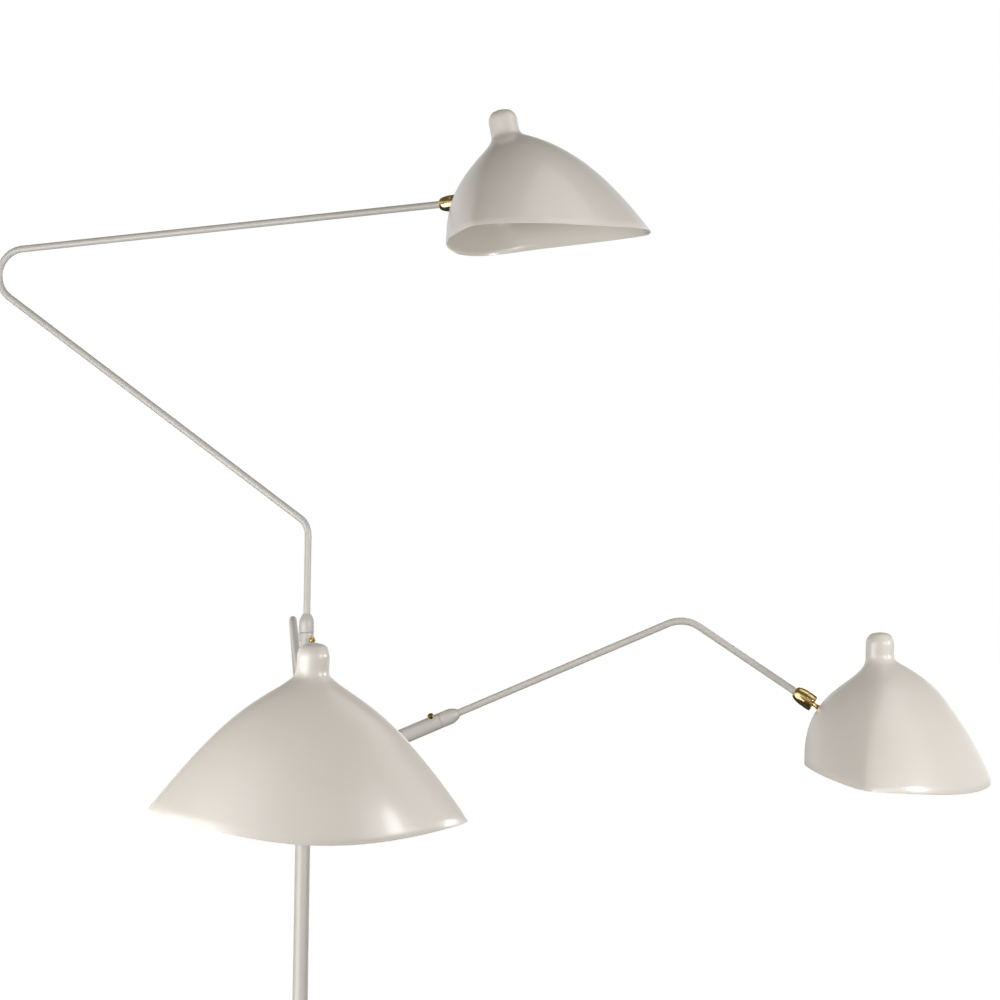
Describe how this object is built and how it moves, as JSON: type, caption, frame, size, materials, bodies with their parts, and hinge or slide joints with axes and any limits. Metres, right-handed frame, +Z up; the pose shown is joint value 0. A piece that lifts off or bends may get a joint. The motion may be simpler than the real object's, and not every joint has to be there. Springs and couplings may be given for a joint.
{
  "type": "adjustable arm floor lamp",
  "caption": "Floor lamp on a slim mast: turning bent arms carry asymmetrical folded metal shades on brass ball swivels, clamped at sleeves; tripod foot under a heavy hub.",
  "frame": {"origin": "point on the mast's axis at the hub's underside cover, 7.7 mm above the floor plane that the pads stand on; the floor is z = 0", "axes": "+Z up along the mast; the right arm reaches roughly along +X, the front arm roughly along -Y, and the upper arm's head hangs to the +X side"},
  "size_m": [1.451, 1.2565, 2.1035],
  "materials": {
    "stand_steel": "warm off-white satin enamel on a heavy steel hub",
    "leg_paint": "warm off-white satin enamel on solid steel rod",
    "tube_paint": "warm off-white satin enamel on steel tube",
    "shade_paint": "warm off-white satin enamel inside and out on spun and folded sheet",
    "brass": "polished and lacquered",
    "rubber": "matte",
    "bulb_diffuser": "opal, slightly glossy",
    "holder_plastic": "matte thermoset plastic",
    "wire_jacket": "matte woven-look jacket"
  },
  "bodies": {
    "stand": {"base_hub": "stand_steel", "base_bolt": "brass", "base_cover": "stand_steel", "leg_1": "leg_paint", "leg_2": "leg_paint", "leg_3": "leg_paint", "foot_pad_1": "rubber", "foot_pad_2": "rubber", "foot_pad_3": "rubber", "cord_gland": "rubber", "mast_tube": "tube_paint", "branch_block": "holder_plastic", "mast_wire": "wire_jacket", "sleeve_right": "tube_paint", "sleeve_front": "tube_paint"},
    "upper_arm": {"upper_arm_bush": "tube_paint", "upper_arm_tube": "tube_paint", "upper_arm_wire": "wire_jacket"},
    "upper_barrel": {"upper_swivel_barrel": "brass"},
    "upper_stud": {"upper_ball_stud": "brass"},
    "upper_head": {"upper_stud_flange": "brass", "upper_lock_nut": "brass", "upper_shade": "shade_paint", "upper_lampholder": "holder_plastic", "upper_holder_ring": "holder_plastic", "upper_bulb": "bulb_diffuser", "upper_lead": "wire_jacket"},
    "upper_screw": {"upper_clamp_screw": "brass"},
    "right_arm": {"right_arm_bush": "tube_paint", "right_arm_tube": "tube_paint", "right_arm_wire": "wire_jacket"},
    "right_barrel": {"right_swivel_barrel": "brass"},
    "right_stud": {"right_ball_stud": "brass"},
    "right_head": {"right_stud_flange": "brass", "right_lock_nut": "brass", "right_shade": "shade_paint", "right_lampholder": "holder_plastic", "right_holder_ring": "holder_plastic", "right_bulb": "bulb_diffuser", "right_lead": "wire_jacket"},
    "right_screw": {"right_clamp_screw": "brass"},
    "front_arm": {"front_arm_bush": "tube_paint", "front_arm_tube": "tube_paint", "front_arm_wire": "wire_jacket"},
    "front_barrel": {"front_swivel_barrel": "brass"},
    "front_stud": {"front_ball_stud": "brass"},
    "front_head": {"front_stud_flange": "brass", "front_lock_nut": "brass", "front_shade": "shade_paint", "front_lampholder": "holder_plastic", "front_holder_ring": "holder_plastic", "front_bulb": "bulb_diffuser", "front_lead": "wire_jacket"},
    "front_screw": {"front_clamp_screw": "brass"}
  },
  "joints": [
    {"name": "upper_arm_turn", "type": "hinge", "parent": "stand", "child": "upper_arm", "pos_m": [0, 0, 1.3674], "axis": [0, 0, 1], "range_deg": [-170, 170]},
    {"name": "upper_barrel_turn", "type": "hinge", "parent": "upper_arm", "child": "upper_barrel", "pos_m": [0.20533, -0.06474, 1.97965], "axis": [0.9506, -0.2997, 0.0807], "range_deg": [-170, 170]},
    {"name": "upper_shade_tilt", "type": "hinge", "parent": "upper_barrel", "child": "upper_stud", "pos_m": [0.20533, -0.06474, 1.97965], "axis": [0.2744, 0.6898, -0.67], "range_deg": [-42, 36]},
    {"name": "upper_shade_spin", "type": "hinge", "parent": "upper_stud", "child": "upper_head", "pos_m": [0.20533, -0.06474, 1.97965], "axis": [0.7432, -0.5943, -0.3075], "range_deg": [-90, 90]},
    {"name": "upper_clamp_screw_turn", "type": "hinge", "parent": "stand", "child": "upper_screw", "pos_m": [0, 0, 1.3569], "axis": [0.6561, -0.7547, 0], "range_deg": [0, 180]},
    {"name": "right_arm_turn", "type": "hinge", "parent": "stand", "child": "right_arm", "pos_m": [0.19467, -0.02218, 1.24642], "axis": [0.9084, -0.1035, 0.4051], "range_deg": [-170, 170]},
    {"name": "right_barrel_turn", "type": "hinge", "parent": "right_arm", "child": "right_barrel", "pos_m": [0.71255, -0.08118, 1.28262], "axis": [0.8314, -0.0947, -0.5476], "range_deg": [-170, 170]},
    {"name": "right_shade_tilt", "type": "hinge", "parent": "right_barrel", "child": "right_stud", "pos_m": [0.71255, -0.08118, 1.28262], "axis": [-0.5388, 0.1041, -0.836], "range_deg": [-30, 48]},
    {"name": "right_shade_spin", "type": "hinge", "parent": "right_stud", "child": "right_head", "pos_m": [0.71255, -0.08118, 1.28262], "axis": [0.7444, -0.4058, -0.5303], "range_deg": [-90, 90]},
    {"name": "right_clamp_screw_turn", "type": "hinge", "parent": "stand", "child": "right_screw", "pos_m": [0.18513, -0.02109, 1.24217], "axis": [-0.3869, -0.5756, 0.7204], "range_deg": [0, 180]},
    {"name": "front_arm_turn", "type": "hinge", "parent": "stand", "child": "front_arm", "pos_m": [0.00413, -0.19693, 1.24402], "axis": [0.0192, -0.9189, 0.3939], "range_deg": [-170, 170]},
    {"name": "front_barrel_turn", "type": "hinge", "parent": "front_arm", "child": "front_barrel", "pos_m": [0.03766, -0.71741, 1.27517], "axis": [0.124, -0.8249, -0.5515], "range_deg": [-170, 170]},
    {"name": "front_shade_tilt", "type": "hinge", "parent": "front_barrel", "child": "front_stud", "pos_m": [0.03766, -0.71741, 1.27517], "axis": [0.9223, 0.3009, -0.2427], "range_deg": [-18, 60]},
    {"name": "front_shade_spin", "type": "hinge", "parent": "front_stud", "child": "front_head", "pos_m": [0.03766, -0.71741, 1.27517], "axis": [0.0826, -0.7667, -0.6367], "range_deg": [-90, 90]},
    {"name": "front_clamp_screw_turn", "type": "hinge", "parent": "stand", "child": "front_screw", "pos_m": [0.00392, -0.18728, 1.23988], "axis": [0.609, 0.3233, 0.7243], "range_deg": [0, 180]}
  ]
}
